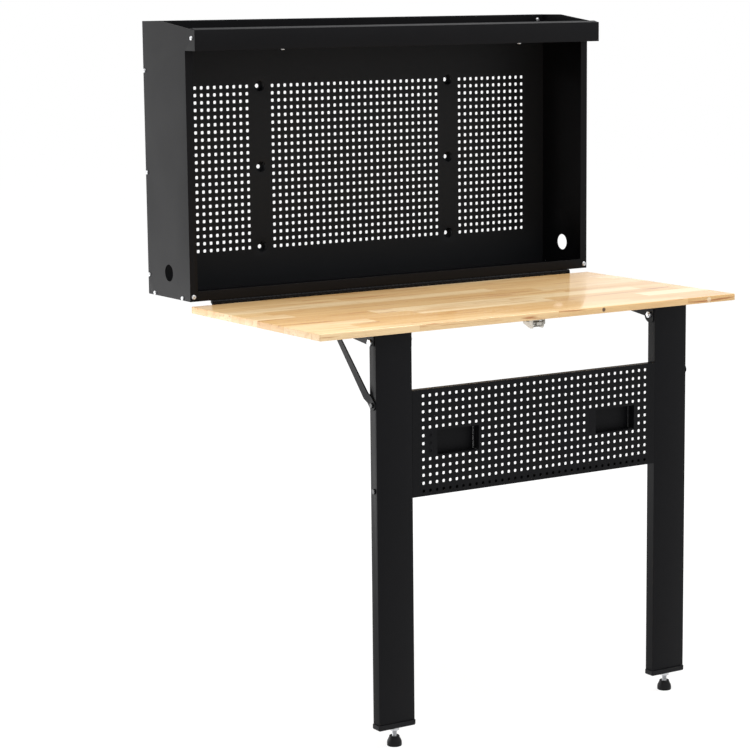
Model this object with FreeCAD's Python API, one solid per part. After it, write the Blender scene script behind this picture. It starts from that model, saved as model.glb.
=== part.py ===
import FreeCAD
import Part
import math
import os

# Wall mounted folding workbench.
#
# A sheet-steel tool cabinet hangs on the wall. Its front is a wooden board on a continuous hinge.
# Folded down it is the bench top, carried by two sheet-steel legs with an apron panel between them.
# Folded up it closes the cabinet.
#
# Frame: millimetres, X along the wall, -Y towards the user, +Z up. The wall is the plane Y = 0.
# The origin is the centre of the six wall bolts, on the wall. The bench is down, ready for work.

os.makedirs("parts", exist_ok=True)
V = FreeCAD.Vector
X_AXIS = V(1, 0, 0)
Y_AXIS = V(0, 1, 0)
Z_AXIS = V(0, 0, 1)

# ----------------------------------------------------------------------------------------
# Driving dimensions

# Sheet metal. The back panel and the apron are punched with small square holes on this pitch. To keep the
# model light, the back panel has a plain grid of larger openings instead, and the apron has none.
sheet = 1.2
bracket_sheet = 2.0
pitch = 16.0
seam = 15.0  # width of a flange that is lapped and screwed
fit_gap = 0.2  # between neighbouring folded parts
running_gap = 0.05  # radial clearance of a pin that turns or slides
side_play = 0.5  # beside parts that swing past each other
past = 1.0  # how far a cut runs past what it cuts
tolerance = 1e-6  # two heights closer than this are the same

# Cabinet
cabinet_width = 1040.0
cabinet_top = 320.0
cabinet_bottom = -261.0
cabinet_depth = 188.0
panel_depth = 20.0  # wall to the face of the back panel
shoulder_depth = 88.0  # the sides keep their full height this far from the wall
lip_depth = 231.0  # wall to the face of the front lip
lip_top_land = 9.0  # flat top of the sides above the lip
lip_top = 303.0
lip_bottom = 260.0
lip_top_flange = 14.0
lip_turn_down = 9.0  # height of the top flange's return
lip_ledge = 46.0  # depth of the lip's lower flange, under the tray floor
tray_front = 226.0  # wall to the front edge of the tray floor
side_flange = 18.0
bottom_upstand = 21.0
cable_hole_radius = 18.0
cable_hole_y = -95.0
cable_hole_z = -208.0
rear_screw_y = -6.0
rear_screw_z = (216.0, 0.0, -219.0)
bottom_screw_y = (-30.0, -154.0)
bottom_screw_rise = 5.0  # above the cabinet's bottom
corner_screw_inset = 8.0  # from the cabinet's side
corner_screw_rise = 10.0
lip_screw_inset = 13.0  # behind the lip's face
lip_screw_drop = 17.0
lip_floor_screw_x = 305.0
lip_floor_screw_inset = 12.0
tray_screw_inset = 18.0
tray_screw_drop = 12.0

# Wall bolts: a 2 x 3 grid on the perforation's own grid
bolt_x = 15.5 * pitch
bolt_z = 11 * pitch
bolt_hole_radius = 4.5
cup_radius = 11.25
cup_depth = 12.5
cup_sides = 16  # enough for a pressed cup

# Openings in the three punched fields of the back panel, one in the middle and one on each side of it
field_middle = 23 * pitch  # from the middle to the centre of a side field
field_side_width = 12 * pitch
field_middle_width = 28 * pitch
field_height = 23 * pitch
side_opening_count = 3
middle_opening_count = 6
opening_rows = 4
opening_width = 28.0
opening_height = 40.0

# Continuous hinge under the cabinet's front edge
hinge_setback = 1.0  # axis behind the cabinet's front
hinge_length = 940.0
barrel_radius = 3.5
barrel_gap = 0.3  # between the knuckles and the cabinet's bottom
hinge_pin_radius = 1.5
knuckle_count = 9
knuckle_gap = 0.4
cabinet_leaf_width = 25.0
table_leaf_width = 23.0
leaf_screw_spacing = 147.4
leaf_screw_inset = 13.0

# Bench top
board_drop = 5.2  # hinge axis to the top of the board
board_thickness = 14.0
board_depth = 518.0
board_edge = 1.0
bench_height = 850.0

# Legs
leg_side_inset = 130.0  # end of the board to a leg's outer side
leg_width = 84.0
leg_depth = 23.0
leg_inset = 6.5  # board's front edge to the legs' fronts
leg_top_gap = 0.5
leg_top_chamfer = 5.0  # rear corners of the side webs, which swing past the board
pivot_drop = 16.0  # underside to the pivot axis
pivot_inset = 16.0  # leg front to the pivot axis
pivot_bolt_radius = 4.0
pivot_head_width = 13.0
pivot_head_height = 4.0
pivot_nut_width = 12.0
pivot_nut_height = 5.0
thread_end = 2.0

# Leg brackets
bracket_length = 94.0
bracket_ear_drop = 22.0
bracket_tail_drop = 12.0  # height of the ears at their rear end
bracket_front_inset = 4.0  # leg front to the front of the ears
bracket_base_gap = 18.0  # pivot axis to the base plate, clear of the swinging leg top
bracket_lobe_radius = 17.0
bracket_screw_inset = 13.0

# Apron panel between the legs
apron_drop = 117.0  # underside to the apron's top edge
apron_height = 215.0
apron_return = 16.0
apron_lip = 14.0  # the bottom return turns up again behind the lowest holes
pocket_depth = 20.0
pocket_height = 50.0
pocket_width = 101.0
pocket_drop = 85.0  # apron top to the pockets' upper edge
pocket_insets = (59.0, 55.0)  # from the left and the right leg
pocket_flange = 16.0

# Side bolts through the legs into the apron's returns
side_bolt_inset = 11.0  # leg front to the bolts, and to the brace pivots
brace_pivot_drop = 22.0  # apron top to the brace pivots
lower_bolt_drop = 194.0  # apron top to the lower bolts
side_bolt_radius = 3.0
button_head_radius = 5.5
button_head_height = 3.3
side_nut_width = 10.0
side_nut_height = 5.0

# Braces, each with an open hook over a stud of its anchor
brace_sheet = 3.0
brace_side_gap = 0.3
brace_lean = 44.0  # degrees from the leg
brace_end_radius = 10.0
brace_neck = 13.0
brace_joggle = 4.0
brace_joggle_start = 14.0  # from the pivot, along the brace
brace_joggle_run = 10.0
hook_radius = 8.5
hook_play = 1.0
hook_mouth_angle = 117.0  # degrees from the brace's own direction
stud_drop = 12.0
stud_radius = 3.0
anchor_length = 28.0
anchor_foot = 25.0
anchor_shoulder = 4.8  # underside to the cheek's sloping corners
anchor_screw_inset = 11.0
anchor_screw_spacing = 17.0

# Feet
cap_height = 11.0
cap_proud = 2.0
cap_plug = 15.0
cap_chamfer = 2.5
pad_radius = 15.0
pad_neck_radius = 9.5
pad_height = 21.0
pad_rim = 3.0
pad_waist = 1.2  # how far the waist is outside the neck
pad_waist_height = 9.5
stem_radius = 5.0
stem_gap = 11.0  # bare stem between the pad and the lock nut
stem_spare = 12.0  # stem above the cap's plug
stem_socket = 8.0
lock_nut_width = 17.0
lock_nut_height = 6.0

# Draw latch under the board's front edge
latch_width = 32.0
latch_length = 40.0
latch_inset = 1.5
latch_sheet = 1.5
latch_ear_length = 11.0
latch_screw_inset = 5.5
latch_pivot_inset = 5.5
latch_pivot_drop = 7.0
latch_pin_radius = 1.5
lever_gap = 1.0
lever_reach = 32.0
lever_front = 4.0  # these lever sizes are from its pivot
lever_top = 3.0
lever_belly = 11.0
lever_nose = 1.5
lever_belly_start = 2.0
lever_belly_end = 10.0
lever_shoulder = 5.0
lever_mouth = 12.0  # the back is closed from here to the tip
lever_tip_low = 3.0
lever_tip_high = 1.0
grip_width = 14.0
grip_length = 12.0
grip_low = 4.5
grip_slope_start = 9.6
grip_nose_low = 2.5
grip_nose_high = 0.5
hook_pin_radius = 1.2
hook_pin_back = 6.5
hook_pin_drop = 3.75
hook_width = 12.0
hook_eye_radius = 2.4
hook_reach = 11.5
hook_claw = 6.0
keeper_width = 42.0
keeper_length = 27.0
keeper_inset = 4.0

# Screws: head across flats, head height, square shank, length under the head
PANEL_SCREW = (10.0, 3.0, 4.0, 2 * sheet)
LIP_SCREW = (8.0, 2.5, 4.0, 2 * sheet)
WOOD_SCREW = (8.0, 2.0, 3.4, 11.0)
LATCH_SCREW = (5.0, 1.2, 2.4, 9.0)

# ----------------------------------------------------------------------------------------
# Places that follow from the driving dimensions

half_width = cabinet_width / 2
inner_width = half_width - sheet
front_y = -cabinet_depth
panel_y = -panel_depth
lip_y = -lip_depth

hinge_y = front_y + hinge_setback
hinge_z = cabinet_bottom - barrel_radius - barrel_gap
board_back = hinge_y - barrel_radius
board_front = board_back - board_depth
board_top = hinge_z - board_drop
underside = board_top - board_thickness
floor_z = board_top - bench_height

leg_outer = half_width - leg_side_inset
leg_inner = leg_outer - leg_width
leg_front = board_front + leg_inset
leg_rear = leg_front + leg_depth
leg_top = underside - leg_top_gap
cap_bottom = floor_z + pad_height + stem_gap + lock_nut_height
leg_end = cap_bottom + cap_height
pivot_y = leg_front + pivot_inset
pivot_z = underside - pivot_drop
ear_outer = leg_outer + side_play
ear_inner = leg_inner - side_play

apron_top = underside - apron_drop
apron_bottom = apron_top - apron_height
side_bolt_y = leg_front + side_bolt_inset
brace_pivot_z = apron_top - brace_pivot_drop
lower_bolt_z = apron_top - lower_bolt_drop
apron_inner = leg_inner - sheet
pocket_lefts = (pocket_insets[0] - leg_inner, leg_inner - pocket_insets[1] - pocket_width)

stud_z = underside - stud_drop
lean = math.radians(brace_lean)
brace_length = (stud_z - brace_pivot_z) / math.cos(lean)
stud_y = side_bolt_y + brace_length * math.sin(lean)
brace_x = leg_outer + brace_side_gap
hook_x = brace_x + brace_joggle
anchor_x = hook_x + brace_sheet + side_play

foot_x = leg_outer - leg_width / 2
foot_y = leg_front + leg_depth / 2


# ----------------------------------------------------------------------------------------
# Helpers

def box(x, y, z):
    """A block between (low, high) pairs."""
    return Part.makeBox(x[1] - x[0], y[1] - y[0], z[1] - z[0], V(x[0], y[0], z[0]))


def rod(radius, start, end):
    """A round bar between two points."""
    return Part.makeCylinder(radius, (end - start).Length, start, end - start)


def slab_x(outline, x):
    """A flat piece with a (y, z) outline, between two x values."""
    wire = Part.makePolygon([V(x[0], y, z) for y, z in outline + outline[:1]])
    return Part.Face(wire).extrude(V(x[1] - x[0], 0, 0))


def prism(sides, width, base, way):
    """A regular prism, measured across its flats, from base along way."""
    corner = width / 2 / math.cos(math.pi / sides)
    turn = FreeCAD.Rotation(Z_AXIS, way)
    points = []
    for side in range(sides + 1):
        angle = 2 * math.pi * (side + 0.5) / sides
        points.append(base + turn.multVec(V(corner * math.cos(angle), corner * math.sin(angle), 0)))
    return Part.Face(Part.makePolygon(points)).extrude(way)


def faceted(radius, start, end):
    """A twelve-sided bar that fits inside the round one, for small parts that repeat."""
    return prism(12, 2 * radius * math.cos(math.pi / 12), start, end - start)


def faceted_hole(radius, start, end):
    """What a twelve-sided hole removes, around the round bar that goes through it."""
    return prism(12, 2 * radius, start, end - start)


def union(shapes):
    """One solid from touching or overlapping shapes."""
    return shapes[0].multiFuse(shapes[1:]).removeSplitter()


def mirrored(shape):
    """The same piece on the other side of the middle."""
    return shape.mirror(V(0, 0, 0), X_AXIS)


def both_sides(shapes):
    """The pieces and their mirror images."""
    return shapes + [mirrored(shape) for shape in shapes]


def shank(kind, seat, outward):
    """The part of a screw under its head."""
    head_width, head_height, width, length = kind
    return prism(4, width, seat - outward * length, outward * length)


def screw(kind, seat, outward):
    """A screw whose head sits on seat and points outward."""
    head_width, head_height, width, length = kind
    return union([prism(6, head_width, seat, outward * head_height), shank(kind, seat, outward)])


def pierced(shape, kind, seats, outward):
    """The shape with a hole for each screw."""
    return shape.cut([shank(kind, seat, outward) for seat in seats])


def save(name, solids):
    """Write one node, a single solid or a group of them."""
    shape = solids if hasattr(solids, "exportStep") else Part.makeCompound(solids)
    shape.exportStep("parts/" + name + ".step")


# ----------------------------------------------------------------------------------------
# Cabinet

side_rear_seats = [V(half_width, rear_screw_y, z) for z in rear_screw_z]
side_bottom_seats = [V(half_width, y, cabinet_bottom + bottom_screw_rise) for y in bottom_screw_y]
corner_seats = [V(half_width - corner_screw_inset, front_y, cabinet_bottom + corner_screw_rise)]
lip_side_seats = [V(half_width, lip_y + lip_screw_inset, lip_top - lip_screw_drop)]
lip_floor_seats = [V(side * lip_floor_screw_x, lip_y + lip_floor_screw_inset, lip_bottom)
                   for side in (-1, 1)]
tray_rear_seats = [V(side * (half_width - tray_screw_inset), panel_y - sheet, cabinet_top - tray_screw_drop)
                   for side in (-1, 1)]


def punched_openings():
    """The plain grid of openings in the back panel's fields."""
    openings = []
    for centre, width, count in ((-field_middle, field_side_width, side_opening_count),
                                 (0, field_middle_width, middle_opening_count),
                                 (field_middle, field_side_width, side_opening_count)):
        for column in range(count):
            for row in range(opening_rows):
                x = centre + ((column + 0.5) / count - 0.5) * width
                z = ((row + 0.5) / opening_rows - 0.5) * field_height
                across = (x - opening_width / 2, x + opening_width / 2)
                up = (z - opening_height / 2, z + opening_height / 2)
                openings.append(box(across, (panel_y, panel_y + sheet), up))
    return openings


def make_back_panel():
    """A folded tray, open to the wall, with six cups. A block behind each cup reaches the wall."""
    low = cabinet_bottom + sheet
    tray = box((-inner_width, inner_width), (panel_y, 0), (low, cabinet_top))
    tray = tray.cut(box((sheet - inner_width, inner_width - sheet), (panel_y + sheet, 0),
                        (low + sheet, cabinet_top - sheet)))
    cups = []
    wells = []
    for x in (-bolt_x, bolt_x):
        for z in (-bolt_z, 0, bolt_z):
            block = cup_radius + sheet
            cups.append(box((x - block, x + block), (panel_y, 0), (z - block, z + block)))
            wells.append(prism(cup_sides, 2 * cup_radius, V(x, panel_y, z), Y_AXIS * cup_depth))
            wells.append(rod(bolt_hole_radius, V(x, panel_y, z), V(x, 0, z)))
    panel = union([tray] + cups).cut(wells + punched_openings())
    panel = pierced(panel, PANEL_SCREW, side_rear_seats, X_AXIS)
    panel = mirrored(pierced(mirrored(panel), PANEL_SCREW, side_rear_seats, X_AXIS))
    return pierced(panel, LIP_SCREW, tray_rear_seats, -Y_AXIS)


def make_side_panel():
    """The right side: sloping shoulder, ear for the lip, front flange and a cable hole."""
    outline = [
        (0, cabinet_bottom),
        (0, cabinet_top),
        (-shoulder_depth, cabinet_top),
        (lip_y + lip_top_land, lip_top),
        (lip_y, lip_top),
        (lip_y, lip_bottom),
        (front_y, lip_bottom),
        (front_y, cabinet_bottom),
    ]
    plate = slab_x(outline, (inner_width, half_width))
    flange_x = (half_width - side_flange, half_width)
    flange = box(flange_x, (front_y, front_y + sheet), (cabinet_bottom, lip_bottom))
    panel = union([plate, flange])
    panel = panel.cut(rod(cable_hole_radius, V(inner_width - past, cable_hole_y, cable_hole_z),
                          V(half_width + past, cable_hole_y, cable_hole_z)))
    panel = pierced(panel, PANEL_SCREW, side_rear_seats + side_bottom_seats + lip_side_seats, X_AXIS)
    return pierced(panel, PANEL_SCREW, corner_seats, -Y_AXIS)


def make_bottom_panel():
    """The floor of the tool compartment, lapped behind the side flanges."""
    clear = half_width - side_flange - fit_gap
    behind = front_y + sheet
    top = cabinet_bottom + sheet
    plate = box((-inner_width, inner_width), (behind, 0), (cabinet_bottom, top))
    front = box((-clear, clear), (front_y, behind), (cabinet_bottom, cabinet_bottom + bottom_upstand))
    tab = box((clear - seam, inner_width), (behind, behind + sheet), (top, cabinet_bottom + bottom_upstand))
    upstand = box((inner_width - sheet, inner_width), (behind, panel_y - fit_gap), (top, top + seam))
    panel = union([plate, front] + both_sides([tab, upstand]))
    for turn in range(2):
        panel = pierced(panel, PANEL_SCREW, side_bottom_seats, X_AXIS)
        panel = mirrored(pierced(panel, PANEL_SCREW, corner_seats, -Y_AXIS))
    return panel


def keeper_slot():
    """The space for the latch's hook, up through the lip's ledge and the tray floor."""
    y = lip_y + keeper_inset
    z = (lip_bottom - sheet, lip_bottom + 3 * sheet)
    return box((-keeper_width / 2, keeper_width / 2), (y, y + keeper_length), z)


def make_tray_floor():
    """The open tray on top of the cabinet: its floor and its rear upstand."""
    low = lip_bottom + sheet
    floor = box((-inner_width, inner_width), (-tray_front, panel_y), (low, low + sheet))
    floor = floor.cut(keeper_slot())
    upstand = box((-inner_width, inner_width), (panel_y - sheet, panel_y), (low, cabinet_top - 2 * sheet))
    tray = union([floor, upstand])
    tray = pierced(tray, LIP_SCREW, tray_rear_seats, -Y_AXIS)
    return pierced(tray, LIP_SCREW, lip_floor_seats, -Z_AXIS)


def make_front_lip():
    """A box channel across the front of the tray, with a slot that keeps the latch's hook."""
    span = (-inner_width, inner_width)
    face = box(span, (lip_y, lip_y + sheet), (lip_bottom, lip_top))
    top = box(span, (lip_y, lip_y + lip_top_flange), (lip_top - sheet, lip_top))
    turn_down = box(span, (lip_y + lip_top_flange - sheet, lip_y + lip_top_flange),
                    (lip_top - lip_turn_down, lip_top))
    ledge = box(span, (lip_y, lip_y + lip_ledge), (lip_bottom, lip_bottom + sheet))
    tab = box((inner_width - sheet, inner_width), (lip_y, lip_y + lip_screw_inset + seam / 2),
              (lip_bottom + 3 * sheet, lip_top))
    lip = union([face, top, turn_down, ledge] + both_sides([tab])).cut(keeper_slot())
    for turn in range(2):
        lip = mirrored(pierced(lip, PANEL_SCREW, lip_side_seats, X_AXIS))
    return pierced(lip, LIP_SCREW, lip_floor_seats, -Z_AXIS)


side_panel = make_side_panel()
save("back_panel", make_back_panel())
save("side_panel_right", side_panel)
save("side_panel_left", mirrored(side_panel))
save("bottom_panel", make_bottom_panel())
save("tray_floor", make_tray_floor())
save("front_lip", make_front_lip())
save("side_rear_screws", both_sides([screw(PANEL_SCREW, seat, X_AXIS) for seat in side_rear_seats]))
save("side_bottom_screws", both_sides([screw(PANEL_SCREW, seat, X_AXIS) for seat in side_bottom_seats]))
save("flange_corner_screws", both_sides([screw(PANEL_SCREW, seat, -Y_AXIS) for seat in corner_seats]))
save("lip_side_screws", both_sides([screw(PANEL_SCREW, seat, X_AXIS) for seat in lip_side_seats]))
save("lip_floor_screws", [screw(LIP_SCREW, seat, -Z_AXIS) for seat in lip_floor_seats])
save("tray_rear_screws", [screw(LIP_SCREW, seat, -Y_AXIS) for seat in tray_rear_seats])


# ----------------------------------------------------------------------------------------
# Continuous hinge

leaf_seats = [V(index * leaf_screw_spacing, board_back - leaf_screw_inset, underside - sheet)
              for index in range(-3, 4)]


hinge_ends = (V(-hinge_length / 2, hinge_y, hinge_z), V(hinge_length / 2, hinge_y, hinge_z))


def make_hinge_leaf(flat, tab_of, first, bore_radius):
    """A leaf with every second knuckle. tab_of(x) is the strip that joins the leaf to a knuckle."""
    step = hinge_length / knuckle_count
    pieces = [flat]
    for index in range(first, knuckle_count, 2):
        start = index * step - hinge_length / 2
        x = (start + knuckle_gap / 2, start + step - knuckle_gap / 2)
        pieces.append(faceted(barrel_radius, V(x[0], hinge_y, hinge_z), V(x[1], hinge_y, hinge_z)))
        pieces.append(tab_of(x))
    return union(pieces).cut(faceted_hole(bore_radius, *hinge_ends))


def make_cabinet_leaf():
    """Flat under the bottom panel, welded to it."""
    half = hinge_length / 2
    near = hinge_y + barrel_radius + fit_gap
    z = (cabinet_bottom - sheet, cabinet_bottom)
    flat = box((-half, half), (near, hinge_y + cabinet_leaf_width), z)
    return make_hinge_leaf(flat, lambda x: box(x, (hinge_y, near), z), 0, hinge_pin_radius)


def make_table_leaf():
    """An angle around the board's rear edge, screwed to its underside."""
    half = hinge_length / 2
    near = hinge_z - barrel_radius - fit_gap
    y = (board_back, board_back + sheet)
    upright = box((-half, half), y, (underside - sheet, near))
    foot = box((-half, half), (board_back - table_leaf_width, y[1]), (underside - sheet, underside))
    flat = pierced(union([upright, foot]), WOOD_SCREW, leaf_seats, -Z_AXIS)
    return make_hinge_leaf(flat, lambda x: box(x, y, (near, hinge_z)), 1, hinge_pin_radius + running_gap)


save("hinge_leaf_cabinet", make_cabinet_leaf())
save("hinge_leaf_table", make_table_leaf())
save("hinge_pin", rod(hinge_pin_radius, *hinge_ends))
save("hinge_table_screws", [screw(WOOD_SCREW, seat, -Z_AXIS) for seat in leaf_seats])


# ----------------------------------------------------------------------------------------
# Leg brackets and brace anchors under the board

base_y = (pivot_y + bracket_base_gap, leg_front + bracket_front_inset + bracket_length)
bracket_seats = [V(x, y, underside - bracket_sheet)
                 for x in (leg_inner + bracket_screw_inset, leg_outer - bracket_screw_inset)
                 for y in (base_y[0] + bracket_screw_inset, base_y[1] - bracket_screw_inset)]
anchor_screw_x = anchor_x + anchor_foot - anchor_screw_inset
anchor_seats = [V(anchor_screw_x, stud_y + side * anchor_screw_spacing / 2, underside - bracket_sheet)
                for side in (-1, 1)]


def make_leg_bracket():
    """A base plate with two tapering ears. The inner ear has a lobe around the pivot bolt."""
    ear_y = (leg_front + bracket_front_inset, base_y[1])
    outline = [
        (ear_y[0], underside),
        (ear_y[0], underside - bracket_ear_drop),
        (pivot_y, underside - bracket_ear_drop),
        (ear_y[1], underside - bracket_tail_drop),
        (ear_y[1], underside),
    ]
    outer_ear = slab_x(outline, (ear_outer, ear_outer + bracket_sheet))
    inner_x = (ear_inner - bracket_sheet, ear_inner)
    inner_ear = slab_x(outline, inner_x)
    lobe = rod(bracket_lobe_radius, V(inner_x[0], pivot_y, pivot_z), V(inner_x[1], pivot_y, pivot_z))
    lobe = lobe.common(box(inner_x, ear_y, (pivot_z - bracket_lobe_radius, underside)))
    base = box((inner_x[0], ear_outer + bracket_sheet), base_y, (underside - bracket_sheet, underside))
    bracket = union([base, outer_ear, inner_ear, lobe])
    bolt_hole = rod(pivot_bolt_radius + running_gap, V(inner_x[0] - past, pivot_y, pivot_z),
                    V(ear_outer + bracket_sheet + past, pivot_y, pivot_z))
    return pierced(bracket.cut(bolt_hole), WOOD_SCREW, bracket_seats, -Z_AXIS)


def make_brace_anchor():
    """An angle with a riveted stud that points inward through the brace's hook."""
    y = (stud_y - anchor_length / 2, stud_y + anchor_length / 2)
    foot = box((anchor_x, anchor_x + anchor_foot), y, (underside - bracket_sheet, underside))
    outline = [
        (y[0], underside),
        (y[1], underside),
        (y[1], underside - anchor_shoulder),
        (stud_y + stud_drop / 2, stud_z - stud_drop / 2),
        (stud_y - stud_drop / 2, stud_z - stud_drop / 2),
        (y[0], underside - anchor_shoulder),
    ]
    cheek = slab_x(outline, (anchor_x, anchor_x + bracket_sheet))
    stud = faceted(stud_radius, V(hook_x - brace_side_gap, stud_y, stud_z),
                   V(anchor_x + bracket_sheet, stud_y, stud_z))
    return pierced(union([foot, cheek, stud]), WOOD_SCREW, anchor_seats, -Z_AXIS)


def make_bench_top():
    """A solid board with eased edges and pilot holes for its screws."""
    board = box((-half_width, half_width), (board_front, board_back), (underside, board_top))
    rim = [edge for edge in board.Edges if edge.BoundBox.ZMin > board_top - tolerance]
    board = board.makeChamfer(board_edge, rim)
    screws = [shank(WOOD_SCREW, seat, -Z_AXIS) for seat in leaf_seats]
    screws += both_sides([shank(WOOD_SCREW, seat, -Z_AXIS) for seat in bracket_seats + anchor_seats])
    screws += both_sides([shank(LATCH_SCREW, seat, -Z_AXIS) for seat in latch_seats])
    return board.cut(screws)


# ----------------------------------------------------------------------------------------
# Draw latch

latch_front = board_front + latch_inset
latch_pivot_y = board_front + latch_pivot_inset
latch_pivot_z = underside - latch_pivot_drop
latch_half = latch_width / 2
lever_half = latch_half - latch_sheet - lever_gap
hook_pin_y = latch_pivot_y + hook_pin_back
hook_pin_z = latch_pivot_z - hook_pin_drop
latch_pin_ends = (V(-latch_half, latch_pivot_y, latch_pivot_z), V(latch_half, latch_pivot_y, latch_pivot_z))
hook_pin_ends = (V(-lever_half, hook_pin_y, hook_pin_z), V(lever_half, hook_pin_y, hook_pin_z))
latch_seats = [V(latch_half - latch_screw_inset, y, underside - latch_sheet)
               for y in (latch_front + 3 * latch_screw_inset, latch_front + latch_length - latch_screw_inset)]


def make_latch_base():
    """A plate with two ears that hold the lever's pin."""
    x = (-latch_half, latch_half)
    plate = box(x, (latch_front, latch_front + latch_length), (underside - latch_sheet, underside))
    ear = box((latch_half - latch_sheet, latch_half), (latch_front, latch_front + latch_ear_length),
              (latch_pivot_z - 2 * latch_pin_radius, underside))
    base = union([plate] + both_sides([ear]))
    base = base.cut(faceted_hole(latch_pin_radius, *latch_pin_ends))
    for turn in range(2):
        base = mirrored(pierced(base, LATCH_SCREW, latch_seats, -Z_AXIS))
    return base


def make_latch_lever():
    """Two cheeks and a sloping back, wedge-shaped when closed."""
    outline = [
        (-lever_front, lever_top),
        (-lever_front, -lever_front),
        (-lever_nose, lever_nose - lever_belly),
        (lever_belly_start, -lever_belly),
        (lever_belly_end, -lever_belly),
        (lever_reach, -lever_tip_low),
        (lever_reach, lever_tip_high),
        (lever_shoulder, lever_top),
    ]
    outline = [(latch_pivot_y + y, latch_pivot_z + z) for y, z in outline]
    wedge = slab_x(outline, (-lever_half, lever_half))
    inside = lever_half - latch_sheet
    slope = (lever_belly - lever_tip_low) / (lever_reach - lever_belly_end)
    mouth_z = latch_sheet - lever_belly + (lever_mouth - lever_belly_end) * slope
    hollow = [
        (-lever_front - past, lever_top + past),
        (-lever_front - past, -lever_belly - past),
        (lever_mouth, -lever_belly - past),
        (lever_mouth, mouth_z),
        (lever_reach + past, latch_sheet - lever_tip_low + past * slope),
        (lever_reach + past, lever_top + past),
    ]
    hollow = [(latch_pivot_y + y, latch_pivot_z + z) for y, z in hollow]
    lever = wedge.cut(slab_x(hollow, (-inside, inside)))
    pivot = faceted_hole(latch_pin_radius + running_gap, *latch_pin_ends)
    return lever.cut([pivot, faceted_hole(hook_pin_radius, *hook_pin_ends)])


def make_latch_grip():
    """A moulded tip on the lever's free end."""
    y = latch_pivot_y + lever_reach
    z = latch_pivot_z
    outline = [
        (y, z + lever_tip_high),
        (y, z - grip_low),
        (y + grip_slope_start, z - grip_nose_low),
        (y + grip_length, z - grip_nose_high),
        (y + grip_length, z + lever_tip_high),
    ]
    return slab_x(outline, (-grip_width / 2, grip_width / 2))


def make_latch_hook():
    """A flat claw that draws the board against the front lip."""
    half = hook_width / 2
    eye = faceted(hook_eye_radius, V(-half, hook_pin_y, hook_pin_z), V(half, hook_pin_y, hook_pin_z))
    tip = hook_pin_y - hook_reach
    z = (hook_pin_z - latch_sheet / 2, hook_pin_z + latch_sheet / 2)
    strip = box((-half, half), (tip, hook_pin_y), z)
    claw = box((-half, half), (tip, tip + latch_sheet), (z[0], z[0] + hook_claw))
    return union([eye, strip, claw]).cut(faceted_hole(hook_pin_radius + running_gap, *hook_pin_ends))


save("bench_top", make_bench_top())
leg_bracket = make_leg_bracket()
brace_anchor = make_brace_anchor()
save("leg_bracket_right", leg_bracket)
save("leg_bracket_left", mirrored(leg_bracket))
save("leg_bracket_screws", both_sides([screw(WOOD_SCREW, seat, -Z_AXIS) for seat in bracket_seats]))
save("brace_anchor_right", brace_anchor)
save("brace_anchor_left", mirrored(brace_anchor))
save("brace_anchor_screws", both_sides([screw(WOOD_SCREW, seat, -Z_AXIS) for seat in anchor_seats]))
save("latch_base", make_latch_base())
save("latch_base_screws", both_sides([screw(LATCH_SCREW, seat, -Z_AXIS) for seat in latch_seats]))
save("latch_pin", rod(latch_pin_radius, *latch_pin_ends))
save("latch_lever", make_latch_lever())
save("latch_grip", make_latch_grip())
save("latch_hook_pin", rod(hook_pin_radius, *hook_pin_ends))
save("latch_hook", make_latch_hook())


# ----------------------------------------------------------------------------------------
# Leg frame

side_bolts_z = (brace_pivot_z, lower_bolt_z)


def side_holes(x, radius):
    """Holes along X for the two side bolts."""
    return [faceted_hole(radius, V(x[0], side_bolt_y, z), V(x[1], side_bolt_y, z)) for z in side_bolts_z]


def make_leg():
    """The right leg: a channel, open to the rear, its top corners cut off to swing past the board."""
    z = (leg_end, leg_top)
    channel = box((leg_inner, leg_outer), (leg_front, leg_rear), z)
    inside = (leg_inner + bracket_sheet, leg_outer - bracket_sheet)
    channel = channel.cut(box(inside, (leg_front + bracket_sheet, leg_rear), z))
    low = (leg_rear, leg_top - leg_top_chamfer)
    corner = [(leg_rear - leg_top_chamfer, leg_top), low, (leg_rear, leg_top)]
    channel = channel.cut(slab_x(corner, (leg_inner, leg_outer)))
    pivot = faceted_hole(pivot_bolt_radius, V(leg_inner, pivot_y, pivot_z), V(leg_outer, pivot_y, pivot_z))
    return channel.cut([pivot] + side_holes((leg_inner, leg_outer), side_bolt_radius))


def make_leg_cap():
    """A moulded end cap: a proud foot with eased edges and a plug up inside the channel."""
    foot = box((leg_inner - cap_proud, leg_outer + cap_proud), (leg_front - cap_proud, leg_rear + cap_proud),
               (cap_bottom, leg_end))
    rim = [edge for edge in foot.Edges if edge.BoundBox.ZMin < leg_end - tolerance]
    foot = foot.makeChamfer(cap_chamfer, rim)
    inset = bracket_sheet + fit_gap
    top = leg_end + cap_plug
    plug = box((leg_inner + inset, leg_outer - inset), (leg_front + inset, leg_rear), (leg_end, top))
    bore = rod(stem_radius + running_gap, V(foot_x, foot_y, cap_bottom), V(foot_x, foot_y, top))
    return union([foot, plug]).cut(bore)


def make_apron():
    """A folded panel between the legs, with two openings for the hands and a lip along its bottom."""
    z = (apron_bottom, apron_top)
    back = leg_front + apron_return
    shell = box((-leg_inner, leg_inner), (leg_front, back), z)
    inside = (z[0] + sheet, z[1] - sheet)
    shell = shell.cut(box((-apron_inner, apron_inner), (leg_front + sheet, back), inside))
    half = apron_inner - fit_gap
    shell = shell.fuse(box((-half, half), (back - sheet, back), (z[0], z[0] + apron_lip))).removeSplitter()
    top = apron_top - pocket_drop
    windows = [box((left, left + pocket_width), (leg_front, leg_front + sheet), (top - pocket_height, top))
               for left in pocket_lefts]
    return shell.cut(windows + both_sides(side_holes((apron_inner, leg_inner), side_bolt_radius)))


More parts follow.
